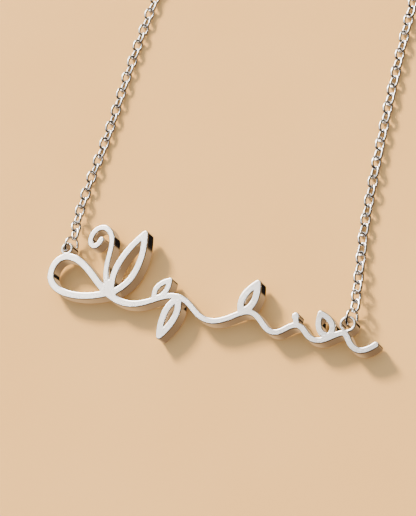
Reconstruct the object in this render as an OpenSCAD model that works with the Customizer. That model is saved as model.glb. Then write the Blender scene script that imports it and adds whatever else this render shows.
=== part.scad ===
// A nameplate necklace lying on a flat surface, laid out as one long closed loop.
// The plate is cut from one thick sheet as a pen-drawn vine with outline leaves. A ring eyelet is cast on at
// each end of it. Each eyelet holds a wire ring, and a fine chain runs from there to the clasp.
// The plate is drawn flat, with its base line on the X axis and its back on z = 0. It is then tilted a little,
// because its eyelets rest on the wire rings and its lowest leaf rests on the surface.

/* [Nameplate] */
// Length of the plate, from the round end loop to the tip of the tail
plate_l = 42; // [36:0.5:48]
// Height of the tall leaf's tip over the base line
leaf_h = 8.5; // [7.5:0.1:9.5]
// Thickness of the sheet
plate_t = 1.5; // [1.2:0.05:1.8]
// Width of the bold strokes, in the end loop and the larger leaves
bold_w = 0.86; // [0.7:0.02:1]
// Width of the fine strokes
fine_w = 0.7; // [0.6:0.02:0.8]
// Diameter of the round berry on its stalk
berry_d = 0.9; // [0.7:0.05:1.1]

/* [Eyelets] */
// Thickness of the metal round each eyelet's hole
eye_wall = 0.3; // [0.24:0.01:0.36]
// Room for the wire in the left eyelet's hole
left_eye_play = 0.06; // [0.05:0.01:0.2]
// Room for the wire in the right eyelet's hole
right_eye_play = 0.35; // [0.05:0.01:0.4]

/* [Rings] */
// Wire of the two rings in the eyelets
ring_wire = 0.3; // [0.24:0.01:0.34]
// Gap between such a ring and the corners of the eyelet that it holds
ring_play = 0.06; // [0.04:0.01:0.1]
// How far such a ring leans towards the left, in degrees
ring_lean = 12; // [0:1:20]

/* [Chain] */
// Length of the loop as it lies, from the plate's base line to the middle of the clasp
loop_l = 180.5; // [160:0.5:200]
// Width over the links of the chain
chain_w = 1.3; // [1.1:0.05:1.5]
// Gap between each end of the chain's body and the ring or eye that it joins
chain_gap = 0.15; // [0.1:0.05:0.3]

/* [Clasp] */
// Outer diameter of the clasp's ring
clasp_d = 5.5; // [5:0.1:6.5]
// Tube of the clasp's ring
clasp_wire = 1; // [0.8:0.05:1.2]
// Hole of the clasp's eye
eye_hole = 0.9; // [0.8:0.05:1.1]
// Wire of the clasp's eye
eye_wire = 0.4; // [0.3:0.05:0.5]
// Diameter of the thumb knob
knob_d = 0.7; // [0.5:0.05:0.9]
// How far the thumb knob stands out from the ring
knob_h = 0.5; // [0.3:0.05:0.8]
// Wire of the ring that the clasp holds
catch_wire = 0.4; // [0.3:0.05:0.5]
// Room round the clasp's tube inside the ring that it holds
catch_play = 0.45; // [0.4:0.05:0.6]

/* [Hidden] */
silver = [0.86, 0.86, 0.87];

// Steps in each span of a drawn line, and in each span of a chain's route
pen_steps = 8;
route_steps = 2;
// Hairlines between the spans of a line are closed by growing and shrinking the outline by this much
seam = 0.01;
// The clasp's tube is this far over the wire of the ring that it holds
catch_gap = 0.1;
tube_sides = 8;

// The drawing. x is in hundredths of the plate's length, y in hundredths of the tall leaf's height.
// The last column is the boldness of the stroke, from 0 for the fine width to 1 for the bold one.
STEM = [
    [-28.5, 13, 1], [-31, 8, 1], [-35, 2, 1], [-40, -1, 1], [-45.5, 2, 1], [-49.5, 15, 1], [-50, 37, 1],
    [-47.5, 53, 1], [-42.5, 52, 1], [-37, 36, 1], [-31.5, 14, 1], [-25, 0, 1], [-19, 2, 0.5], [-14, 16, 0],
    [-9, 25, 0], [-4.5, 18, 0], [-0.5, 0, 0], [4.5, -4, 0], [9, 8, 0], [13, 21, 0], [16.5, 15, 0],
    [19.5, -1, 0], [23, -4, 0], [26, 12, 0], [29, 13, 0], [31.5, -2, 0], [35, -4, 0], [38.5, 9, 0],
    [41, 15, 0], [42.5, 1, 0], [45, -7, 0], [47.5, -4, 0], [49.5, 5, 0]
];
TENDRIL = [
    [-29, 12, 0], [-32, 30, 0], [-33, 55, 0], [-33, 85, 0], [-36, 103, 0], [-40, 99, 0], [-41, 77, 0],
    [-38, 69, 0], [-37, 83, 0]
];
STALK = [[27.5, 12, 0], [27, 17, 0], [26.5, 23, 0]];

// One outline leaf a row: base x and y, tip x and y as above, then how far the left and the right side bulge,
// in hundredths of the leaf's own length, and the boldness.
LEAVES = [
    [-28.5, 11, -24, 100, 17, 21, 1],
    [-15, 14.5, -12, 42, 30, 25, 0],
    [-8, 20.5, -10, -33, 18, 18, 1],
    [11.3, 16, 13.5, 57, 23, 23, 1],
    [37, 5, 33, 32, 30, 30, 0]
];
LOW_LEAF = LEAVES[2];
// The stem's own points on which the eyelets sit
LEFT_EYE_POINT = 7;
RIGHT_EYE_POINT = 28;
// Where a leaf's sides are fullest, and how much fullness is left further on, as shares
waist_share = 0.28;
shoulder_share = 0.72;
fullness_share = 0.75;

// The chain's route on each side, from the ring at the plate to the clasp. x is in hundredths of the plate's
// length from its middle, and y in hundredths of the way from the ring to the clasp. The last column is the
// height over where the chain rests, in hundredths of the height at which it leaves the ring.
LEFT_ROUTE = [
    [-48.3, 1, 45], [-49.5, 3, 5], [-49.6, 5.5, 0], [-49.6, 8.5, 0], [-50.6, 12, 0], [-51.1, 16, 0],
    [-51.1, 22, 0], [-51.1, 30, 0], [-51.1, 38, 0], [-51.1, 46, 0], [-51.1, 54, 0], [-51.1, 62, 0],
    [-51.1, 70, 0], [-51.1, 78, 0], [-51, 85, 0], [-50, 91, 0], [-42, 96, 0], [-29, 99.5, 0]
];
RIGHT_ROUTE = [
    [39.4, 1, 45], [37.8, 3, 5], [35.8, 5, 0], [34.8, 7.5, 0], [33.3, 10.5, 0], [31.8, 14.5, 0],
    [30.3, 19, 0], [29.3, 25, 0], [29.3, 32, 0], [29.3, 40, 0], [29.3, 48, 0], [29.3, 56, 0],
    [29.3, 64, 0], [29.3, 72, 0], [29.3, 79, 0], [29.4, 85, 0], [28.6, 91, 0], [21.3, 96, 0],
    [8.5, 99.5, 0]
];
// Where the clasp's middle is along the plate, in hundredths of the plate's length
clasp_share = -10.25;

// A smooth line through the neighbourhood of its points, as a uniform cubic spline held at both ends
function far_pull(t) = pow(t, 3) / 6;
function near_pull(t) = 2 / 3 - t * t + pow(t, 3) / 2;
function blend(a, b, c, d, t) =
    a * far_pull(1 - t) + b * near_pull(t) + c * near_pull(1 - t) + d * far_pull(t);
function smooth_line(points, steps) =
    let (
        n = len(points),
        p = concat([2 * points[0] - points[1]], points, [2 * points[n - 1] - points[n - 2]])
    )
    concat(
        [for (i = [0 : n - 2]) for (k = [0 : steps - 1]) blend(p[i], p[i + 1], p[i + 2], p[i + 3], k / steps)],
        [points[n - 1]]
    );

// The drawing's x is stretched so that the finished plate is plate_l long over its strokes
raw_stem = smooth_line(STEM, pen_steps);
raw_low = min([for (p = raw_stem) p.x]);
raw_high = max([for (p = raw_stem) p.x]);
x_scale = (plate_l - bold_w / 2 - fine_w / 2) / (raw_high - raw_low);
x_start = bold_w / 2 - plate_l / 2;

function width(boldness) = fine_w + (bold_w - fine_w) * boldness;
function at(x, y) = [x_start + (x - raw_low) * x_scale, y * leaf_h / 100];
function drawn(points) = [for (p = points) concat(at(p.x, p.y), width(p.z))];
function pen(points) = smooth_line(drawn(points), pen_steps);

// One side of a leaf, from its base to its tip. bulge is positive on the left.
function leaf_side(leaf, bulge) =
    let (
        base = at(leaf[0], leaf[1]),
        tip = at(leaf[2], leaf[3]),
        w = width(leaf[6]),
        along = tip - base,
        out = [-along.y, along.x] * bulge / 100
    )
    [
        concat(base, w),
        concat(base + waist_share * along + out, w),
        concat(base + shoulder_share * along + fullness_share * out, w),
        concat(tip, w)
    ];

// A point on the edge of a drawn line, on its left for side = 1 and on its right for side = -1
function edge(line, i, side) =
    let (
        a = line[max(i - 1, 0)],
        b = line[min(i + 1, len(line) - 1)],
        run = [b.x - a.x, b.y - a.y],
        across = [-run.y, run.x] / norm(run)
    )
    [line[i].x, line[i].y] + side * across * line[i].z / 2;

// The rings, which pass through the plate's thickness at a lean, and the holes that leave room for that:
// a hole is drawn wider, so that its rim is clear of the wire at the two faces, where the lean takes it aside
hole_half = plate_t / cos(ring_lean) / 2;
ring_r = norm([hole_half, eye_wall / 2]) + ring_play;
ring_half_chord = sqrt(ring_r * ring_r - hole_half * hole_half);
ring_sag = ring_r - ring_half_chord;
ring_aside = plate_t / 2 * tan(ring_lean) + ring_wire / 2;
function hole(play) =
    let (depth = ring_wire + ring_sag + play)
    depth + ring_aside * ring_aside / depth;
left_hole_d = hole(left_eye_play);
right_hole_d = hole(right_eye_play);

// The eyelets, each seated in the upper edge of the stem
stem_line = pen(STEM);
function eye_centre(point, hole_d) =
    let (seat = stem_line[point * pen_steps])
    [seat.x, seat.y + seat.z / 2 + eye_wall / 2 + hole_d / 2];
left_eye = eye_centre(LEFT_EYE_POINT, left_hole_d);
right_eye = eye_centre(RIGHT_EYE_POINT, right_hole_d);

// The tilt of the plate, about the lowest edge of the low leaf, which touches the surface
low_y = at(LOW_LEAF[2], LOW_LEAF[3]).y - width(LOW_LEAF[6]) / 2;
function ring_centre_y(eye, hole_d) =
    eye.y + sqrt(hole_d * hole_d / 4 - ring_aside * ring_aside) + ring_half_chord - ring_play / 2;
right_ring_y = ring_centre_y(right_eye, right_hole_d);
left_ring_y = ring_centre_y(left_eye, left_hole_d);
ring_drop = (ring_r + ring_wire / 2) * cos(ring_lean) + ring_wire / 2 - plate_t / 2;
plate_tilt = atan(ring_drop / (right_ring_y - low_y));

// Middle of the clasp assembly's parts, with x along the loop from the eye to the catch ring
CLASP_AT = [clasp_share * plate_l / 100, loop_l];
clasp_r = (clasp_d - clasp_wire) / 2;
catch_r = clasp_wire / 2 + catch_play;
catch_z = catch_r + catch_wire;
clasp_near_z = clasp_wire / 2;
clasp_far_z = catch_z - catch_play + catch_gap;
clasp_tilt = asin((clasp_far_z - clasp_near_z) / (2 * clasp_r));
clasp_z = (clasp_near_z + clasp_far_z) / 2;
catch_x = clasp_r * cos(clasp_tilt) + catch_play / 3;
eye_r = (eye_hole + eye_wire) / 2;
eye_x = -(clasp_d / 2 + eye_hole / 2);
eye_rise = (clasp_wire - eye_wire) / 3;
knob_angle = 215;

// Where a point of the flat plate comes to after the tilt
function tilted(p) = [
    p.x,
    low_y + (p.y - low_y) * cos(plate_tilt) - p.z * sin(plate_tilt),
    (p.y - low_y) * sin(plate_tilt) + p.z * cos(plate_tilt)
];
function clasp_point(x) = [CLASP_AT.x + x * cos(clasp_tilt), CLASP_AT.y, clasp_z + x * sin(clasp_tilt)];

// The chain's body runs from just outside its ring at the plate to just outside the clasp's eye or ring
function lay(start, route) = [
    for (p = route)
        [
            p.x * plate_l / 100,
            start.y + (CLASP_AT.y - start.y) * p.y / 100,
            chain_w / 2 + (start.z - chain_w / 2) * p.z / 100
        ]
];
left_start = tilted([left_eye.x, left_ring_y + ring_r + ring_wire + chain_gap + chain_w / 8, plate_t / 2]);
right_start = tilted([right_eye.x, right_ring_y + ring_r + ring_wire + chain_gap + chain_w / 8, plate_t / 2]);
left_end = [clasp_point(eye_x - eye_r - eye_wire / 2 - chain_gap).x, CLASP_AT.y, chain_w / 2];
right_end = [CLASP_AT.x + catch_x + catch_r + catch_wire + chain_gap, CLASP_AT.y, catch_z / 2 + chain_w / 4];
left_line = smooth_line(concat([left_start], lay(left_start, LEFT_ROUTE), [left_end]), route_steps);
right_line = smooth_line(concat([right_start], lay(right_start, RIGHT_ROUTE), [right_end]), route_steps);

// The middle of the loop's box, which is put over the origin
left_most = min(-plate_l / 2, min([for (p = left_line) p.x]) - chain_w / 2);
mid_x = (left_most + plate_l / 2) / 2;
mid_y = (low_y - plate_t * sin(plate_tilt) + CLASP_AT.y + clasp_d / 2) / 2;

module stroke(line) {
    for (i = [0 : pen_steps : len(line) - 2]) {
        last = min(i + pen_steps, len(line) - 1);
        polygon(concat(
            [for (k = [i : last]) edge(line, k, 1)],
            [for (k = [last : -1 : i]) edge(line, k, -1)]
        ));
    }
    for (tip = [line[0], line[len(line) - 1]])
        translate([tip.x, tip.y])
            circle(d = tip.z, $fn = 24);
}

module leaf(row) {
    stroke(smooth_line(leaf_side(row, row[4]), pen_steps));
    stroke(smooth_line(leaf_side(row, -row[5]), pen_steps));
}

module berry() {
    stroke(pen(STALK));
    translate(at(STALK[2].x, STALK[2].y))
        circle(d = berry_d, $fn = 32);
}

module drawing() {
    stroke(stem_line);
    stroke(pen(TENDRIL));
    for (row = LEAVES)
        leaf(row);
    berry();
    for (eye = [[left_eye, left_hole_d], [right_eye, right_hole_d]])
        translate(eye[0])
            circle(d = eye[1] + 2 * eye_wall, $fn = 48);
}

module bore(eye, hole_d) {
    translate([eye.x, eye.y, -plate_t])
        cylinder(d = hole_d, h = 3 * plate_t, $fn = 64);
}

module wire_ring(inner_r, wire) {
    rotate_extrude($fn = 72)
        translate([inner_r + wire / 2, 0])
            circle(d = wire, $fn = 32);
}

// Lays what is drawn with the flat plate on the surface
module laid() {
    translate([-mid_x, low_y - mid_y, 0])
        rotate([plate_tilt, 0, 0])
            translate([0, -low_y, 0])
                children();
}

module nameplate() {
    color(silver)
        laid()
            difference() {
                linear_extrude(plate_t)
                    offset(delta = -seam)
                        offset(delta = seam)
                            drawing();
                bore(left_eye, left_hole_d);
                bore(right_eye, right_hole_d);
            }
}

module jump_ring(eye, ring_y) {
    color(silver)
        laid()
            translate([eye.x, ring_y, plate_t / 2])
                rotate([0, 90 - ring_lean, 0])
                    wire_ring(ring_r, ring_wire);
}

module jump_ring_left() {
    jump_ring(left_eye, left_ring_y);
}

module jump_ring_right() {
    jump_ring(right_eye, right_ring_y);
}

// The body of a chain: a tube as wide as its links, with flat ends
module chain(line) {
    last = len(line) - 1;
    corners = [
        for (i = [0 : last])
            let (
                run = line[min(i + 1, last)] - line[max(i - 1, 0)],
                forward = run / norm(run),
                across = cross([0, 0, 1], forward) / norm(cross([0, 0, 1], forward)),
                over = cross(forward, across)
            )
            for (k = [0 : tube_sides - 1])
                let (turn = (k + 0.5) * 360 / tube_sides)
                line[i] + (across * cos(turn) + over * sin(turn)) * chain_w / 2 / cos(180 / tube_sides)
    ];
    walls = [
        for (i = [0 : last - 1])
            for (k = [0 : tube_sides - 1])
                let (
                    a = i * tube_sides + k,
                    b = i * tube_sides + (k + 1) % tube_sides
                )
                for (face = [[a, b + tube_sides, b], [a, a + tube_sides, b + tube_sides]]) face
    ];
    start_cap = [for (k = [0 : tube_sides - 1]) k];
    end_cap = [for (k = [tube_sides - 1 : -1 : 0]) last * tube_sides + k];
    color(silver)
        translate([-mid_x, -mid_y, 0])
            polyhedron(corners, concat(walls, [start_cap], [end_cap]));
}

module chain_left() {
    chain(left_line);
}

module chain_right() {
    chain(right_line);
}

// Stands in the clasp's own place, x along the loop
module at_clasp(z) {
    translate([CLASP_AT.x - mid_x, CLASP_AT.y - mid_y, z])
        children();
}

module clasp() {
    color(silver)
        at_clasp(clasp_z)
            rotate([0, -clasp_tilt, 0]) {
                wire_ring(clasp_r - clasp_wire / 2, clasp_wire);
                translate([eye_x, 0, eye_rise])
                    wire_ring(eye_hole / 2, eye_wire);
                rotate([0, 90, knob_angle])
                    translate([0, 0, clasp_r])
                        cylinder(d = knob_d, h = clasp_wire / 2 + knob_h, $fn = 32);
            }
}

module catch_ring() {
    color(silver)
        at_clasp(catch_z)
            translate([catch_x, 0, 0])
                rotate([90, 0, 0])
                    wire_ring(catch_r, catch_wire);
}

nameplate();
jump_ring_left();
jump_ring_right();
chain_left();
chain_right();
clasp();
catch_ring();
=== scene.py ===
import math
import random

import bpy
from mathutils import Euler, Matrix, Vector


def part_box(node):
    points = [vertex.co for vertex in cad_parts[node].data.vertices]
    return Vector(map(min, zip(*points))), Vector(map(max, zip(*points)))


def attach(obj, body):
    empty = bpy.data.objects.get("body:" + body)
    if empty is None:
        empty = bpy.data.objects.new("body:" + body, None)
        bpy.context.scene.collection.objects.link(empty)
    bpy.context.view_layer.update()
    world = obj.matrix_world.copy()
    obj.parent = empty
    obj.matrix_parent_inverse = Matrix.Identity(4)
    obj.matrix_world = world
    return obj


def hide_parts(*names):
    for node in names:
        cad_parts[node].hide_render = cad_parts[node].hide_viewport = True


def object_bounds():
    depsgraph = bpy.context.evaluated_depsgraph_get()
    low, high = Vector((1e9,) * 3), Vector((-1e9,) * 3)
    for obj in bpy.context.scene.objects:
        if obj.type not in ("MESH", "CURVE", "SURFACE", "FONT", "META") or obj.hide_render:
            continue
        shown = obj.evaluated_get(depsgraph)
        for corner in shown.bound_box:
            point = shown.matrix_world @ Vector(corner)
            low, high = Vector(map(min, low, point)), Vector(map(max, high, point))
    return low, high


# The necklace as it lies: the plate's vine with softened edges, two strands of cable links, the
# wire rings and the clasp. Small sizes are written in millimetres and turned into metres with MM.
MM = 0.001

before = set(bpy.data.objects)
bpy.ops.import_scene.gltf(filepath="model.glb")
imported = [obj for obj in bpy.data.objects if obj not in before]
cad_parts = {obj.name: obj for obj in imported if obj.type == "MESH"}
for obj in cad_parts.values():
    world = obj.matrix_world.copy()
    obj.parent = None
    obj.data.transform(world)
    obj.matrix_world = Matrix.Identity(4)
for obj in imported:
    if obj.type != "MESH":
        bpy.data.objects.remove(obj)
cad_low, cad_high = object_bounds()

# The plate, as its solid has it
PLATE_LENGTH = 42 * MM
PLATE_THICKNESS = 1.5 * MM
PLATE_TILT = math.radians(3.418)
# The plate's middle is this far from the middle of the whole loop
MIDDLE_X = PLATE_LENGTH / 2 - cad_high.x
# Where the lowest edge of the plate's back touches the surface
PLATE_FOOT_Y = -93.1978 * MM
# The rounding of its edges, which only the scene has
PLATE_ROUNDING = 0.12 * MM
ROUNDING_STEPS = 4

# The wire rings in the eyelets
RING_WIRE = 0.3 * MM
RING_LEAN = math.radians(12)
# The soldered seam of a wire ring is a shallow waist. Each pair is half a width in degrees, and the
# share of the wire's thickness that is left within it.
SEAM_WAISTS = ((4.8, 0.95), (1.0, 0.93))

# The clasp, and the ring that it holds
CLASP_OUTER = 5.5 * MM
CLASP_WIRE = 1.0 * MM
CLASP_TILT = math.radians(6.379)
EYE_HOLE = 0.9 * MM
EYE_WIRE = 0.4 * MM
EYE_RISE = 0.2 * MM
KNOB_WIDTH = 0.7 * MM
KNOB_HEIGHT = 0.5 * MM
KNOB_EDGE = 0.12 * MM
KNOB_WAY = math.radians(215)
CASTING_DETAIL = 0.055 * MM
CATCH_WIRE = 0.4 * MM
# Where the last link holds the catch ring, the wire's middle is this far inside its widest point
CATCH_HOLD = 0.636 * CATCH_WIRE
CATCH_HOLD_HEIGHT = 1.0 * MM

# The links of the chain
LINK_LENGTH = 1.75 * MM
LINK_WIDTH = 1.3 * MM
LINK_WIRE = 0.3 * MM
LINK_PITCH = LINK_LENGTH - 2 * LINK_WIRE
LINK_LEANS = (math.radians(-27), math.radians(46))
# Six sides show a wire as thick as a round one only if their corners stand a little out
HEXAGON_REACH = 1.07
# A link strays from its lean by up to this many degrees
LOOSE_LEAN = 6
# So many links at each end of a strand turn, step by step, to suit the ring that the last one holds
TURNING_LINKS = 6
# Steps between two points of a strand's route
ROUTE_STEPS = 24


# Everyday steps of modelling

def select_only(*pieces):
    bpy.ops.object.select_all(action="DESELECT")
    for piece in pieces:
        piece.select_set(True)
    bpy.context.view_layer.objects.active = pieces[0]


def place_in_mesh(piece):
    select_only(piece)
    bpy.ops.object.transform_apply(location=True, rotation=True, scale=True)


def apply_modifier(piece, kind, **settings):
    select_only(piece)
    modifier = piece.modifiers.new(kind.title(), kind)
    for name, value in settings.items():
        setattr(modifier, name, value)
    bpy.ops.object.modifier_apply(modifier=modifier.name)


def start_choice(piece, kind):
    """Clears the choice of vertices, edges or faces, and says which kind is about to be chosen."""
    bpy.ops.object.mode_set(mode="OBJECT")
    kinds = ("vertex", "edge", "face")
    bpy.context.tool_settings.mesh_select_mode = [kind == name for name in kinds]
    for part in (piece.data.vertices, piece.data.edges, piece.data.polygons):
        part.foreach_set("select", [False] * len(part))


def select_vertices(piece, wanted):
    start_choice(piece, "vertex")
    for vertex in piece.data.vertices:
        vertex.select = wanted(vertex.co)
    bpy.ops.object.mode_set(mode="EDIT")


def select_edges(piece, wanted):
    start_choice(piece, "edge")
    corners = piece.data.vertices
    for edge in piece.data.edges:
        edge.select = wanted(corners[edge.vertices[0]].co, corners[edge.vertices[1]].co)
    bpy.ops.object.mode_set(mode="EDIT")


def select_faces(piece, wanted):
    start_choice(piece, "face")
    for face in piece.data.polygons:
        face.select = wanted(face)
    bpy.ops.object.mode_set(mode="EDIT")


def add_torus(name, ring_radius, wire_radius, round_steps, wire_steps):
    bpy.ops.object.select_all(action="DESELECT")
    bpy.ops.mesh.primitive_torus_add(
        major_radius=ring_radius, minor_radius=wire_radius,
        major_segments=round_steps, minor_segments=wire_steps,
        generate_uvs=False)
    ring = bpy.context.active_object
    ring.name = name
    return ring


def add_seam(ring, ring_radius, degrees):
    """The soldered seam where a wire ring was closed, a little narrower in the middle."""
    along = Vector((math.cos(math.radians(degrees)), math.sin(math.radians(degrees)), 0))
    for half_width, share in SEAM_WAISTS:
        reach = math.radians(half_width)
        select_vertices(ring, lambda co: Vector((co.x, co.y, 0)).angle(along) < reach)
        bpy.ops.transform.resize(
            value=(share, share, share), center_override=along * ring_radius)
        bpy.ops.object.mode_set(mode="OBJECT")


def smooth_ring(ring):
    select_only(ring)
    bpy.ops.object.shade_smooth_by_angle(angle=math.radians(40))


def smooth_all_over(piece):
    piece.data.polygons.foreach_set("use_smooth", [True] * len(piece.data.polygons))


# Finishes

def new_group(name, inputs, outputs):
    group = bpy.data.node_groups.new(name, "ShaderNodeTree")
    for label, kind, value in inputs:
        socket = group.interface.new_socket(label, in_out="INPUT", socket_type=kind)
        socket.default_value = value
    for label, kind in outputs:
        group.interface.new_socket(label, in_out="OUTPUT", socket_type=kind)
    start = group.nodes.new("NodeGroupInput")
    end = group.nodes.new("NodeGroupOutput")
    return group, start, end


def make_polish_marks():
    """Fine polishing grain with larger clouds in it: the roughness varies a little, and the surface
    is never quite flat."""
    group, start, end = new_group(
        "Polish Marks",
        [("Grain Scale", "NodeSocketFloat", 9000.0),
         ("Base Roughness", "NodeSocketFloat", 0.12),
         ("Roughness Spread", "NodeSocketFloat", 0.08),
         ("Relief", "NodeSocketFloat", 0.1)],
        [("Roughness", "NodeSocketFloat"), ("Normal", "NodeSocketVector")])
    nodes, links = group.nodes, group.links
    place = nodes.new("ShaderNodeTexCoord")
    grain = nodes.new("ShaderNodeTexNoise")
    grain.inputs["Detail"].default_value = 3.0
    grain.inputs["Roughness"].default_value = 0.6
    links.new(place.outputs["Object"], grain.inputs["Vector"])
    links.new(start.outputs["Grain Scale"], grain.inputs["Scale"])

    # The clouds are about eight times as large as the grain
    cloud_scale = nodes.new("ShaderNodeMath")
    cloud_scale.operation = "MULTIPLY"
    cloud_scale.inputs[1].default_value = 0.12
    links.new(start.outputs["Grain Scale"], cloud_scale.inputs[0])
    cloud = nodes.new("ShaderNodeTexNoise")
    cloud.inputs["Detail"].default_value = 2.0
    links.new(place.outputs["Object"], cloud.inputs["Vector"])
    links.new(cloud_scale.outputs[0], cloud.inputs["Scale"])

    # The two of them add up to about 1, and what is over or under that spreads the roughness
    mixed = nodes.new("ShaderNodeMath")
    mixed.operation = "ADD"
    links.new(grain.outputs["Fac"], mixed.inputs[0])
    links.new(cloud.outputs["Fac"], mixed.inputs[1])
    centred = nodes.new("ShaderNodeMath")
    centred.operation = "SUBTRACT"
    centred.inputs[1].default_value = 1.0
    links.new(mixed.outputs[0], centred.inputs[0])
    spread = nodes.new("ShaderNodeMath")
    spread.operation = "MULTIPLY_ADD"
    links.new(centred.outputs[0], spread.inputs[0])
    links.new(start.outputs["Roughness Spread"], spread.inputs[1])
    links.new(start.outputs["Base Roughness"], spread.inputs[2])
    held = nodes.new("ShaderNodeClamp")
    held.inputs["Min"].default_value = 0.03
    held.inputs["Max"].default_value = 0.6
    links.new(spread.outputs[0], held.inputs["Value"])
    links.new(held.outputs[0], end.inputs["Roughness"])

    bump = nodes.new("ShaderNodeBump")
    bump.inputs["Distance"].default_value = 0.004 * MM
    links.new(start.outputs["Relief"], bump.inputs["Strength"])
    links.new(mixed.outputs[0], bump.inputs["Height"])
    links.new(bump.outputs["Normal"], end.inputs["Normal"])
    return group


def make_silver_tone():
    """Silver's own colour with faint warm and cool clouds, as handled silver has."""
    group, start, end = new_group(
        "Silver Tone",
        [("Bright", "NodeSocketColor", (0.93, 0.92, 0.91, 1.0)),
         ("Warm", "NodeSocketColor", (0.86, 0.83, 0.79, 1.0)),
         ("Cloud Scale", "NodeSocketFloat", 420.0)],
        [("Color", "NodeSocketColor")])
    nodes, links = group.nodes, group.links
    place = nodes.new("ShaderNodeTexCoord")
    cloud = nodes.new("ShaderNodeTexNoise")
    cloud.inputs["Detail"].default_value = 4.0
    links.new(place.outputs["Object"], cloud.inputs["Vector"])
    links.new(start.outputs["Cloud Scale"], cloud.inputs["Scale"])
    steps = nodes.new("ShaderNodeMapRange")
    steps.inputs["From Min"].default_value = 0.35
    steps.inputs["From Max"].default_value = 0.75
    links.new(cloud.outputs["Fac"], steps.inputs["Value"])
    mix = nodes.new("ShaderNodeMix")
    mix.data_type = "RGBA"
    links.new(steps.outputs["Result"], mix.inputs["Factor"])
    links.new(start.outputs["Bright"], mix.inputs["A"])
    links.new(start.outputs["Warm"], mix.inputs["B"])
    links.new(mix.outputs["Result"], end.inputs["Color"])
    return group


polish_marks = make_polish_marks()
silver_tone = make_silver_tone()


def make_silver(name, bright, warm, roughness, spread, grain, relief):
    material = bpy.data.materials.new(name)
    material.use_nodes = True
    nodes, links = material.node_tree.nodes, material.node_tree.links
    shader = nodes["Principled BSDF"]
    shader.inputs["Metallic"].default_value = 1.0
    marks = nodes.new("ShaderNodeGroup")
    marks.node_tree = polish_marks
    marks.inputs["Grain Scale"].default_value = grain
    marks.inputs["Base Roughness"].default_value = roughness
    marks.inputs["Roughness Spread"].default_value = spread
    marks.inputs["Relief"].default_value = relief
    tone = nodes.new("ShaderNodeGroup")
    tone.node_tree = silver_tone
    tone.inputs["Bright"].default_value = (*bright, 1.0)
    tone.inputs["Warm"].default_value = (*warm, 1.0)
    links.new(tone.outputs["Color"], shader.inputs["Base Color"])
    links.new(marks.outputs["Roughness"], shader.inputs["Roughness"])
    links.new(marks.outputs["Normal"], shader.inputs["Normal"])
    return material


satin_front = make_silver(
    "satin silver front", bright=(0.95, 0.945, 0.94), warm=(0.81, 0.785, 0.76),
    roughness=0.26, spread=0.10, grain=9000.0, relief=1.0)
polished_wall = make_silver(
    "polished silver walls", bright=(0.93, 0.92, 0.91), warm=(0.88, 0.86, 0.83),
    roughness=0.09, spread=0.05, grain=9000.0, relief=0.10)
polished_wire = make_silver(
    "polished silver wire", bright=(0.94, 0.93, 0.92), warm=(0.88, 0.86, 0.83),
    roughness=0.10, spread=0.05, grain=9000.0, relief=0.10)
polished_link = make_silver(
    "polished silver links", bright=(0.92, 0.91, 0.90), warm=(0.93, 0.91, 0.88),
    roughness=0.15, spread=0.06, grain=9000.0, relief=0.12)
polished_clasp = make_silver(
    "polished silver clasp", bright=(0.93, 0.92, 0.91), warm=(0.87, 0.85, 0.82),
    roughness=0.10, spread=0.05, grain=6000.0, relief=0.10)


# The plate

# The plate is worked on while it lies flat, with its back at zero, and with a millimetre as its
# unit: at its real size the fills would join points that are apart
PLATE_TOP = PLATE_THICKNESS / MM
# How far off a plane a point may be and still count as on it, or as near it
ON_PLANE = 0.001
NEAR_PLANE = 0.01
# Points closer than this are one point, and faces that turn less than this are one face
SAME_POINT = 0.0005
SAME_FACE = math.radians(0.4)
# A face is upright when its normal rises or falls by less than this
UPRIGHT = 0.02


def is_front_or_back(face):
    return min(face.center.z, PLATE_TOP - face.center.z) < ON_PLANE


def smooth_walls(plate):
    """Takes the front and the back off, eases the walls' facets into one curve, and fills both."""
    select_faces(plate, is_front_or_back)
    bpy.ops.mesh.delete(type="FACE")
    for height in (PLATE_TOP, 0):
        select_vertices(plate, lambda co: abs(co.z - height) < NEAR_PLANE)
        bpy.ops.transform.resize(value=(1, 1, 0), center_override=(0, 0, height))
    select_edges(plate, lambda first, second: abs(first.z - second.z) < NEAR_PLANE)
    bpy.ops.mesh.subdivide(number_cuts=2)
    bpy.ops.mesh.select_all(action="SELECT")
    bpy.ops.mesh.vertices_smooth(factor=0.5, repeat=4, zaxis=False)
    for height in (PLATE_TOP, 0):
        select_edges(plate, lambda first, second: max(
            abs(first.z - height), abs(second.z - height)) < ON_PLANE)
        bpy.ops.mesh.fill(use_beauty=True)
    bpy.ops.mesh.select_all(action="SELECT")
    bpy.ops.mesh.normals_make_consistent(inside=False)


def round_edges(plate, radius):
    """Front and back step in, and out again to their height, along a quarter circle."""
    angles = [math.radians(90 * step / ROUNDING_STEPS) for step in range(ROUNDING_STEPS + 1)]
    for height, inwards in ((PLATE_TOP, -1), (0, 1)):
        select_faces(plate, lambda face: abs(face.center.z - height) < ON_PLANE)
        bpy.ops.transform.translate(value=(0, 0, inwards * radius))
        for last, this in zip(angles, angles[1:]):
            bpy.ops.mesh.inset(
                thickness=radius * (math.cos(last) - math.cos(this)),
                depth=radius * (math.sin(this) - math.sin(last)))
        bpy.ops.transform.resize(value=(1, 1, 0), center_override=(0, 0, height))


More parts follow.
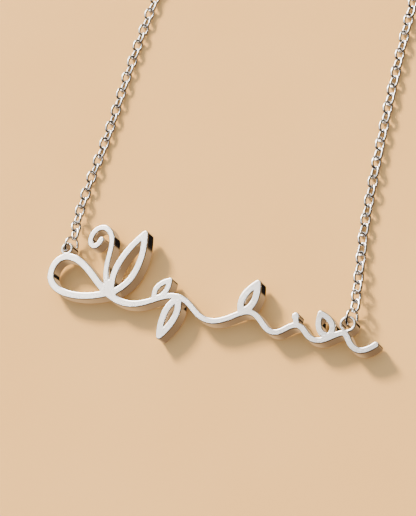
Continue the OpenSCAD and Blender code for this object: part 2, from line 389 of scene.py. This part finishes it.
def shade_plate(plate):
    """The front and the back shade as flat, the walls as upright, and the rounded edges turn
    between them."""
    mesh = plate.data
    straight_up = {}
    outward = {}
    for face in mesh.polygons:
        for corner in face.vertices:
            if is_front_or_back(face):
                straight_up[corner] = Vector((0, 0, 1 if face.center.z > PLATE_TOP / 2 else -1))
            elif abs(face.normal.z) < UPRIGHT:
                outward[corner] = outward.get(corner, Vector()) + face.normal * face.area
    normals = []
    for loop in mesh.loops:
        corner = loop.vertex_index
        if corner in straight_up:
            normals.append(straight_up[corner])
        elif corner in outward:
            normals.append(outward[corner].normalized())
        else:
            normals.append(mesh.vertices[corner].normal.copy())
    smooth_all_over(plate)
    mesh.normals_split_custom_set(normals)


def make_plate():
    """The cut vine, from its solid's own mesh. Its walls are evened out into smooth curves, and
    every edge is rounded as tumbling leaves it."""
    plate = bpy.data.objects.new("vine_plate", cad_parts["nameplate"].data.copy())
    bpy.context.scene.collection.objects.link(plate)
    foot = Matrix.Translation((0, PLATE_FOOT_Y, 0))
    back = foot @ Matrix.Rotation(PLATE_TILT, 4, "X") @ Matrix.Scale(MM, 4)
    plate.data.transform(back.inverted())
    select_only(plate)
    bpy.ops.object.mode_set(mode="EDIT")
    bpy.ops.mesh.select_all(action="SELECT")
    bpy.ops.mesh.remove_doubles(threshold=SAME_POINT)
    bpy.ops.mesh.dissolve_limited(angle_limit=SAME_FACE)
    smooth_walls(plate)
    round_edges(plate, PLATE_ROUNDING / MM)
    bpy.ops.object.mode_set(mode="OBJECT")
    plate.data.materials.clear()
    plate.data.materials.append(polished_wall)
    plate.data.materials.append(satin_front)
    for face in plate.data.polygons:
        face.material_index = 1 if is_front_or_back(face) else 0
    shade_plate(plate)
    plate.data.transform(back)
    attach(plate, "root")
    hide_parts("nameplate")


# The wire rings in the eyelets

def make_jump_ring(name, node):
    low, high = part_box(node)
    middle = (low + high) / 2
    # Its reach along the loop is its own outer diameter
    ring_radius = (high.y - low.y) / 2 - RING_WIRE / 2
    ring = add_torus(name, ring_radius, RING_WIRE / 2, round_steps=64, wire_steps=14)
    add_seam(ring, ring_radius, degrees=250)
    lean = Matrix.Rotation(math.radians(90) - RING_LEAN, 4, "Y")
    turn = Matrix.Rotation(PLATE_TILT, 4, "X") @ lean
    ring.data.transform(Matrix.Translation(middle) @ turn)
    ring.data.materials.append(polished_wire)
    smooth_ring(ring)
    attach(ring, "root")
    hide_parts(node)
    return middle, ring_radius


# The chain

# The route of each strand, from the ring at the plate to the clasp, as the solids have it: x in
# hundredths of the plate's length, y in hundredths of the way to the clasp, and the height in
# hundredths of the start's
LEFT_ROUTE = [
    (-48.3, 1, 45), (-49.5, 3, 5), (-49.6, 5.5, 0), (-49.6, 8.5, 0), (-50.6, 12, 0),
    (-51.1, 16, 0), (-51.1, 22, 0), (-51.1, 30, 0), (-51.1, 38, 0), (-51.1, 46, 0),
    (-51.1, 54, 0), (-51.1, 62, 0), (-51.1, 70, 0), (-51.1, 78, 0), (-51, 85, 0),
    (-50, 91, 0), (-42, 96, 0), (-29, 99.5, 0)]
RIGHT_ROUTE = [
    (39.4, 1, 45), (37.8, 3, 5), (35.8, 5, 0), (34.8, 7.5, 0), (33.3, 10.5, 0),
    (31.8, 14.5, 0), (30.3, 19, 0), (29.3, 25, 0), (29.3, 32, 0), (29.3, 40, 0),
    (29.3, 48, 0), (29.3, 56, 0), (29.3, 64, 0), (29.3, 72, 0), (29.3, 79, 0),
    (29.4, 85, 0), (28.6, 91, 0), (21.3, 96, 0), (8.5, 99.5, 0)]


def pull(t):
    """At a share t of the way from one point to the next: how much the point beyond the next one
    pulls a smooth line, and how much the first one does."""
    return t ** 3 / 6, 2 / 3 - t * t + t ** 3 / 2


def smooth_line(points, steps):
    ends = [2 * points[0] - points[1], *points, 2 * points[-1] - points[-2]]
    line = []
    for i in range(len(points) - 1):
        before, first, second, after = ends[i:i + 4]
        for k in range(steps):
            t = k / steps
            (by_before, by_second), (by_after, by_first) = pull(1 - t), pull(t)
            line.append(
                before * by_before + first * by_first + second * by_second + after * by_after)
    line.append(points[-1])
    return line


def evenly_spaced(line, pitch):
    """Points about a pitch apart, from one end of the line to the other, each with the line's
    direction there."""
    reach = [0.0]
    for a, b in zip(line, line[1:]):
        reach.append(reach[-1] + (b - a).length)
    count = max(2, round(reach[-1] / pitch) + 1)
    step = reach[-1] / (count - 1)
    spots, i = [], 0
    for k in range(count):
        at = k * step
        while i < len(line) - 2 and reach[i + 1] < at:
            i += 1
        share = (at - reach[i]) / (reach[i + 1] - reach[i])
        spots.append((line[i].lerp(line[i + 1], share), (line[i + 1] - line[i]).normalized()))
    return spots


def make_link():
    """One oval link, lying flat with its length along X."""
    link = add_torus(
        "link", (LINK_WIDTH - LINK_WIRE) / 2, LINK_WIRE / 2 * HEXAGON_REACH,
        round_steps=12, wire_steps=6)
    # The two halves of a ring move apart, and the wire between them stretches into straight sides
    for side in (1, -1):
        select_vertices(link, lambda co: co.x * side > NEAR_PLANE * MM)
        bpy.ops.transform.translate(value=(side * (LINK_LENGTH - LINK_WIDTH) / 2, 0, 0))
    bpy.ops.object.mode_set(mode="OBJECT")
    link.data.materials.append(polished_link)
    smooth_all_over(link)
    return link


def make_strand(name, node, route, start, end, first_lean, last_lean, seed):
    """Lays links along one side of the loop. Each leans to one side and the next to the other, as a
    cable chain does when it lies slack. Towards each end they turn to suit the ring that the last
    link holds."""
    rest_height = LINK_WIDTH / 2
    laid = [
        Vector((
            x * PLATE_LENGTH / 100 - MIDDLE_X,
            start.y + (clasp_line_y - start.y) * y / 100,
            rest_height + (start.z - rest_height) * height / 100))
        for x, y, height in route]
    spots = evenly_spaced(smooth_line([start, *laid, end], ROUTE_STEPS), LINK_PITCH)
    draw = random.Random(seed)
    link = make_link()
    links = []
    last = len(spots) - 1
    for i, (spot, ahead) in enumerate(spots):
        lean = LINK_LEANS[i % 2]
        near_start = max(0.0, 1 - i / TURNING_LINKS)
        near_end = max(0.0, 1 - (last - i) / TURNING_LINKS)
        lean += (first_lean - LINK_LEANS[0]) * near_start
        lean += (last_lean - LINK_LEANS[last % 2]) * near_end
        loose = 1 - max(near_start, near_end)
        lean += math.radians(draw.uniform(-LOOSE_LEAN, LOOSE_LEAN)) * loose
        # A link lies on its own lower edge, lower than where the tube's middle is
        low = (LINK_WIDTH - LINK_WIRE) / 2 * abs(math.sin(lean)) + LINK_WIRE / 2
        spot.z -= (rest_height - low) * loose
        across = Vector((0, 0, 1)).cross(ahead).normalized()
        over = ahead.cross(across)
        turn = Matrix((ahead, across, over)).transposed().to_4x4() @ Matrix.Rotation(lean, 4, "X")
        copy = link.copy()
        copy.data = link.data.copy()
        copy.data.transform(Matrix.Translation(spot) @ turn)
        bpy.context.scene.collection.objects.link(copy)
        links.append(copy)
    select_only(*links)
    bpy.ops.object.join()
    strand = bpy.context.active_object
    strand.name = name
    bpy.data.objects.remove(link)
    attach(strand, "root")
    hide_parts(node)


# The clasp and the ring that it holds

def make_clasp():
    """The ring, its eye and the thumb knob, run together with small fillets as a casting has. It is
    shaped a thousand times too big, because the remesh can't make voxels this small, and then
    brought to its size."""
    low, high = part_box("clasp")
    ring_radius = (CLASP_OUTER - CLASP_WIRE) / 2
    eye_radius = (EYE_HOLE + EYE_WIRE) / 2
    knob_reach = KNOB_HEIGHT + CLASP_WIRE / 2
    bulk = 1 / MM

    ring = add_torus(
        "ring_clasp", ring_radius * bulk, CLASP_WIRE / 2 * bulk, round_steps=96, wire_steps=28)
    eye = add_torus("eye", eye_radius * bulk, EYE_WIRE / 2 * bulk, round_steps=48, wire_steps=16)
    eye.location = Vector((-(CLASP_OUTER + EYE_HOLE) / 2, 0, EYE_RISE)) * bulk
    place_in_mesh(eye)
    bpy.ops.object.select_all(action="DESELECT")
    bpy.ops.mesh.primitive_cylinder_add(
        vertices=40, radius=KNOB_WIDTH / 2 * bulk, depth=knob_reach * bulk)
    knob = bpy.context.active_object
    apply_modifier(knob, "BEVEL", width=KNOB_EDGE * bulk, segments=3, limit_method="ANGLE")
    way = Vector((math.cos(KNOB_WAY), math.sin(KNOB_WAY), 0))
    knob.location = way * (ring_radius + knob_reach / 2) * bulk
    knob.rotation_euler = (math.radians(90), 0, KNOB_WAY + math.radians(90))
    place_in_mesh(knob)
    select_only(ring, eye, knob)
    bpy.ops.object.join()
    clasp = bpy.context.active_object
    clasp.data.remesh_voxel_size = CASTING_DETAIL * bulk
    bpy.ops.object.voxel_remesh()
    apply_modifier(clasp, "SMOOTH", factor=0.5, iterations=5)
    turn = Matrix.Rotation(-CLASP_TILT, 4, "Y") @ Matrix.Scale(MM, 4)
    middle = Vector((
        high.x - ring_radius * math.cos(CLASP_TILT) - CLASP_WIRE / 2,
        (low.y + high.y) / 2,
        (low.z + high.z) / 2))
    clasp.data.transform(Matrix.Translation(middle) @ turn)
    clasp.data.materials.append(polished_clasp)
    smooth_all_over(clasp)
    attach(clasp, "root")
    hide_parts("clasp")


def make_catch_ring():
    low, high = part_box("catch_ring")
    ring_radius = (high.x - low.x - CATCH_WIRE) / 2
    ring = add_torus(
        "catch_wire_ring", ring_radius, CATCH_WIRE / 2, round_steps=72, wire_steps=18)
    add_seam(ring, ring_radius, degrees=60)
    upright = Matrix.Rotation(math.radians(90), 4, "X")
    ring.data.transform(Matrix.Translation((low + high) / 2) @ upright)
    ring.data.materials.append(polished_wire)
    smooth_ring(ring)
    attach(ring, "root")
    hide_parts("catch_ring")


def hook(wire):
    """How far the middle of a link is from the middle of the wire that its end hooks round."""
    return LINK_LENGTH / 2 - LINK_WIRE - wire / 2


# The pieces, from the plate to the clasp

make_plate()
left_middle, left_radius = make_jump_ring("left_wire_ring", "jump_ring_left")
right_middle, right_radius = make_jump_ring("right_wire_ring", "jump_ring_right")

along_plate = Vector((0, math.cos(PLATE_TILT), math.sin(PLATE_TILT)))
left_start = left_middle + along_plate * (left_radius + hook(RING_WIRE))
right_start = right_middle + along_plate * (right_radius + hook(RING_WIRE))

clasp_low, clasp_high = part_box("clasp")
catch_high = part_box("catch_ring")[1]
clasp_line_y = (clasp_low.y + clasp_high.y) / 2
left_end = Vector((clasp_low.x + EYE_WIRE / 2 - hook(EYE_WIRE), clasp_line_y, LINK_WIDTH / 2))
right_end = Vector((
    catch_high.x - CATCH_HOLD + hook(CATCH_WIRE), clasp_line_y, CATCH_HOLD_HEIGHT))
make_strand(
    "left_chain_links", "chain_left", LEFT_ROUTE, left_start, left_end,
    first_lean=math.radians(-20), last_lean=math.radians(80), seed=3)
make_strand(
    "right_chain_links", "chain_right", RIGHT_ROUTE, right_start, right_end,
    first_lean=math.radians(-20), last_lean=math.radians(15), seed=4)

make_clasp()
make_catch_ring()


# The surface, the light and the camera

FLOOR_SIZE = 4.0
# The floor is a hair lower than the pieces that lie on it
FLOOR_HEIGHT = -0.01 * MM
FLOOR_COLOURS = ((0.925, 0.52, 0.14), (0.975, 0.57, 0.17))

# Directions from the necklace
KEY_SIDE = (-0.70, 0.57, 0.46)
SOFTBOX_SIDE = (-0.57, 0.30, 0.77)
LEFT_SIDE = (-1, 0, 0)
LIT_ROOM_SIDE = (-0.6, 0.8, 0)
LIT_GROUND_SIDE = (-0.75, 0.66, 0)
# The heading of the near-black patch of painted shade in the mirrored ground
PAINTED_SHADE_SIDE = (0.438, 0.899, 0)

# How near to its direction a thing of the room begins to show, and how near it is whole: 1 is
# straight at it, 0 across it and -1 away from it
GLINT_REACH = (0.92, 0.975)
SOFTBOX_REACH = (0.79, 0.91)
SOFTBOX_LEFT_REACH = (0.32, 0.75)
LIT_ROOM_REACH = (-0.2, 0.9)
LIT_GROUND_REACH = (-1.0, 0.7)
# How far the near-black patch of painted shade in the mirrored ground reaches
PAINTED_SHADE_REACH = (0.945, 0.970)
# The same for what changes with height, where 1 is straight up
CEILING_RISE = (0.30, 0.95)
TOP_LAMP_RISE = (0.965, 0.990)
HORIZON_RISE = (-0.22, -0.08)
GROUND_RISE = (-0.99, -0.90)

# The key light, a disk in metres and its power in watts
KEY_DISTANCE = 2.7
KEY_WIDTH = 0.60
KEY_POWER = 243.0
KEY_COLOUR = (1.0, 0.81, 0.60)

# The room's colours, as light
SOFTBOX = (4.00, 3.74, 3.41)
SOFTBOX_EDGE = (1.05, 0.97, 0.90)
GLINT = (30.0, 28.0, 26.0)
CEILING = (0.040, 0.033, 0.027)
TOP_LAMP = (2.30, 2.20, 2.08)
DARK_ROOM = (0.014, 0.011, 0.009)
LIT_ROOM = (0.38, 0.34, 0.30)
LIT_GROUND = (0.95, 0.56, 0.24)
SHADED_GROUND = (0.35, 0.205, 0.10)
UNDER = (0.12, 0.06, 0.025)
# What the camera sees past the floor, and the even light on all that isn't a mirror
WALL = (1.1, 0.66, 0.32)
AMBIENT = (0.80, 0.865, 1.21)


def make_floor():
    bpy.ops.object.select_all(action="DESELECT")
    bpy.ops.mesh.primitive_plane_add(size=FLOOR_SIZE, location=(0, 0, FLOOR_HEIGHT))
    floor = bpy.context.active_object
    floor.name = "studio_floor"
    place_in_mesh(floor)
    paint = bpy.data.materials.new("pale sand paper")
    paint.use_nodes = True
    nodes, links = paint.node_tree.nodes, paint.node_tree.links
    shader = nodes["Principled BSDF"]
    shader.inputs["Roughness"].default_value = 0.9
    place = nodes.new("ShaderNodeTexCoord")
    cloud = nodes.new("ShaderNodeTexNoise")
    cloud.inputs["Scale"].default_value = 60.0
    links.new(place.outputs["Object"], cloud.inputs["Vector"])
    mix = nodes.new("ShaderNodeMix")
    mix.data_type = "RGBA"
    mix.inputs["A"].default_value = (*FLOOR_COLOURS[0], 1)
    mix.inputs["B"].default_value = (*FLOOR_COLOURS[1], 1)
    links.new(cloud.outputs["Fac"], mix.inputs["Factor"])
    links.new(mix.outputs["Result"], shader.inputs["Base Color"])
    floor.data.materials.append(paint)
    # The silver mirrors the room's ground instead, which has no edge
    floor.visible_glossy = False


def make_key_light(aim):
    lamp = bpy.data.lights.new("key light", "AREA")
    lamp.shape = "DISK"
    lamp.size = KEY_WIDTH
    lamp.energy = KEY_POWER
    lamp.color = KEY_COLOUR
    stand = bpy.data.objects.new("key light", lamp)
    bpy.context.scene.collection.objects.link(stand)
    # The silver mirrors the room's glint instead of the bare lamp
    stand.visible_glossy = False
    stand.location = aim + Vector(KEY_SIDE).normalized() * KEY_DISTANCE
    stand.rotation_euler = (aim - stand.location).to_track_quat("-Z", "Y").to_euler()


def make_surroundings():
    """What the silver mirrors. Overhead and to the left is a pale softbox, round the horizon the
    dark of the room, and below it the warm light from the surface, with one near-black patch of
    painted shade in it."""
    world = bpy.data.worlds.new("studio room")
    bpy.context.scene.world = world
    world.use_nodes = True
    nodes, links = world.node_tree.nodes, world.node_tree.links
    nodes.clear()

    def node(kind, *inputs, **settings):
        made = nodes.new(kind)
        for name, value in settings.items():
            setattr(made, name, value)
        for slot, value in enumerate(inputs):
            if hasattr(value, "is_output"):
                links.new(value, made.inputs[slot])
            else:
                made.inputs[slot].default_value = value
        return made

    def step(value, reach):
        """0 below the first of the reach, 1 above its second, and smooth between them."""
        made = node("ShaderNodeMapRange", value, *reach, interpolation_type="SMOOTHSTEP")
        return made.outputs["Result"]

    def blend(share, first, second):
        made = node("ShaderNodeMix", data_type="RGBA")
        links.new(share, made.inputs["Factor"])
        for name, value in (("A", first), ("B", second)):
            if hasattr(value, "is_output"):
                links.new(value, made.inputs[name])
            else:
                made.inputs[name].default_value = (*value, 1)
        return made.outputs["Result"]

    def toward(direction, vector):
        """1 where the vector points in the direction, 0 across it and -1 away from it."""
        aim = Vector(direction).normalized()
        made = node("ShaderNodeVectorMath", vector, aim, operation="DOT_PRODUCT")
        return made.outputs["Value"]

    place = node("ShaderNodeTexCoord").outputs["Generated"]
    height = node("ShaderNodeSeparateXYZ", place).outputs["Z"]
    level = node("ShaderNodeVectorMath", place, Vector((1, 1, 0)), operation="MULTIPLY")
    heading = node(
        "ShaderNodeVectorMath", level.outputs["Vector"], operation="NORMALIZE").outputs["Vector"]

    # Above: the softbox where the plate's face looks, brightest on its left side
    box = step(toward(SOFTBOX_SIDE, place), SOFTBOX_REACH)
    glow = blend(step(toward(LEFT_SIDE, place), SOFTBOX_LEFT_REACH), SOFTBOX_EDGE, SOFTBOX)
    # Round it the room, lit on the far left, under a dark ceiling with one lamp overhead
    rim = blend(step(toward(LIT_ROOM_SIDE, heading), LIT_ROOM_REACH), DARK_ROOM, LIT_ROOM)
    sky = blend(step(height, CEILING_RISE), rim, CEILING)
    sky = blend(step(height, TOP_LAMP_RISE), sky, TOP_LAMP)
    upper = blend(box, sky, glow)
    # The brightest part of it is where the key light stands
    upper = blend(step(toward(KEY_SIDE, place), GLINT_REACH), upper, GLINT)
    # Below: the light that the surface sends back, with a near-black patch of painted shade in it
    # on one side, and painted shade straight down
    lit_ground = step(toward(LIT_GROUND_SIDE, heading), LIT_GROUND_REACH)
    ground = blend(lit_ground, SHADED_GROUND, LIT_GROUND)
    # A near-black patch of painted shade in the mirrored ground, which walls facing that way
    # reflect as dark patches
    ground = blend(step(toward(PAINTED_SHADE_SIDE, heading), PAINTED_SHADE_REACH), ground, DARK_ROOM)
    ground = blend(step(height, GROUND_RISE), UNDER, ground)
    seen_by_silver = blend(step(height, HORIZON_RISE), ground, upper)

    ray = node("ShaderNodeLightPath").outputs
    light = blend(ray["Is Glossy Ray"], AMBIENT, seen_by_silver)
    light = blend(ray["Is Camera Ray"], light, WALL)
    room = node("ShaderNodeBackground", light, 1.0)
    out = node("ShaderNodeOutputWorld")
    links.new(room.outputs[0], out.inputs["Surface"])


def make_camera():
    lens = bpy.data.cameras.new("camera")
    lens.lens = 100
    lens.sensor_width = 36
    lens.clip_start = 0.01
    camera = bpy.data.objects.new("camera", lens)
    bpy.context.scene.collection.objects.link(camera)
    camera.location = Vector((74.827, -132.244, 131.945)) * MM
    camera.rotation_euler = Euler([math.radians(a) for a in (26.909, 22.777, 19.638)])
    bpy.context.scene.camera = camera


make_floor()
make_key_light(aim=Vector((0, cad_low.y, 0)))
make_surroundings()
make_camera()
